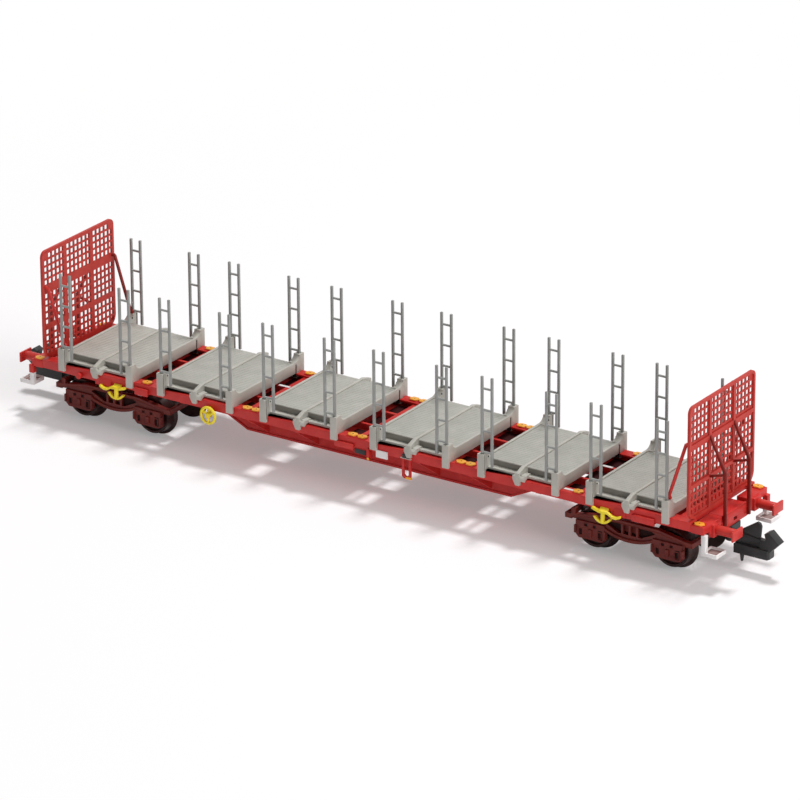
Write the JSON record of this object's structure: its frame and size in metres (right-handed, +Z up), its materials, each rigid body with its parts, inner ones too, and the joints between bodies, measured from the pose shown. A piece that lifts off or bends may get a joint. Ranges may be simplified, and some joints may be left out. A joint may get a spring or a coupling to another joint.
{
  "type": "log carrier wagon model",
  "caption": "Red bogie flat wagon model for logs, with grey load trays, ladder stakes and perforated end bulkheads, on N gauge wheels.",
  "frame": {"origin": "on the floor under the middle of the wagon", "axes": "+X along the wagon to the end shown on the right in the picture, +Y to the far side, +Z up"},
  "size_m": [0.13, 0.0188, 0.0264],
  "materials": {
    "frame_red": "satin",
    "bulkhead_red": "satin",
    "dark_red": "satin",
    "tray_grey": "satin",
    "stake_grey": "satin",
    "bogie_brown": "satin",
    "wheel_black": "satin",
    "brake_yellow": "satin",
    "pad_orange": "satin",
    "board_white": "satin",
    "coupler_black": "satin",
    "buffer_red": "satin"
  },
  "bodies": {
    "wagon": {"underframe": "frame_red", "solebar_near": "frame_red", "solebar_far": "frame_red", "end_beam_left": "frame_red", "buffers_left": "buffer_red", "steps_left": "board_white", "end_beam_right": "frame_red", "buffers_right": "buffer_red", "steps_right": "board_white", "tray_1": "tray_grey", "tray_2": "tray_grey", "tray_3": "tray_grey", "tray_4": "tray_grey", "tray_5": "tray_grey", "tray_6": "tray_grey", "stakes_1": "stake_grey", "stakes_2": "stake_grey", "stakes_3": "stake_grey", "stakes_4": "stake_grey", "stakes_5": "stake_grey", "stakes_6": "stake_grey", "bulkhead_left": "bulkhead_red", "bulkhead_props_left": "dark_red", "bulkhead_stays_left": "dark_red", "bulkhead_right": "bulkhead_red", "bulkhead_props_right": "dark_red", "bulkhead_stays_right": "dark_red", "handwheels": "brake_yellow", "brake_levers": "brake_yellow", "container_pads": "pad_orange", "side_boards": "board_white", "equipment_cases": "frame_red", "tether_brackets": "frame_red", "coupler_pocket_left": "coupler_black", "coupler_pocket_right": "coupler_black"},
    "bogie_left": {"bogie_left": "bogie_brown"},
    "bogie_right": {"bogie_right": "bogie_brown"},
    "wheelset_1": {"wheelset_1": "wheel_black"},
    "wheelset_2": {"wheelset_2": "wheel_black"},
    "wheelset_3": {"wheelset_3": "wheel_black"},
    "wheelset_4": {"wheelset_4": "wheel_black"},
    "coupler_left": {"coupler_left": "coupler_black"},
    "coupler_right": {"coupler_right": "coupler_black"}
  },
  "joints": [
    {"name": "bogie_left_swivel", "type": "hinge", "parent": "wagon", "child": "bogie_left", "pos_m": [-0.04437, 0, 0.0075], "axis": [0, 0, 1], "range_deg": [-15, 15]},
    {"name": "bogie_right_swivel", "type": "hinge", "parent": "wagon", "child": "bogie_right", "pos_m": [0.04437, 0, 0.0075], "axis": [0, 0, 1], "range_deg": [-15, 15]},
    {"name": "wheelset_1_roll", "type": "hinge", "parent": "bogie_left", "child": "wheelset_1", "pos_m": [-0.05063, 0, 0.00347], "axis": [0, 1, 0], "continuous": true},
    {"name": "wheelset_2_roll", "type": "hinge", "parent": "bogie_left", "child": "wheelset_2", "pos_m": [-0.03812, 0, 0.00347], "axis": [0, 1, 0], "continuous": true},
    {"name": "wheelset_3_roll", "type": "hinge", "parent": "bogie_right", "child": "wheelset_3", "pos_m": [0.03812, 0, 0.00347], "axis": [0, 1, 0], "continuous": true},
    {"name": "wheelset_4_roll", "type": "hinge", "parent": "bogie_right", "child": "wheelset_4", "pos_m": [0.05063, 0, 0.00347], "axis": [0, 1, 0], "continuous": true},
    {"name": "coupler_left_swing", "type": "hinge", "parent": "wagon", "child": "coupler_left", "pos_m": [-0.057, 0, 0.004], "axis": [0, 0, 1], "range_deg": [-15, 15]},
    {"name": "coupler_right_swing", "type": "hinge", "parent": "wagon", "child": "coupler_right", "pos_m": [0.057, 0, 0.004], "axis": [0, 0, 1], "range_deg": [-15, 15]}
  ]
}
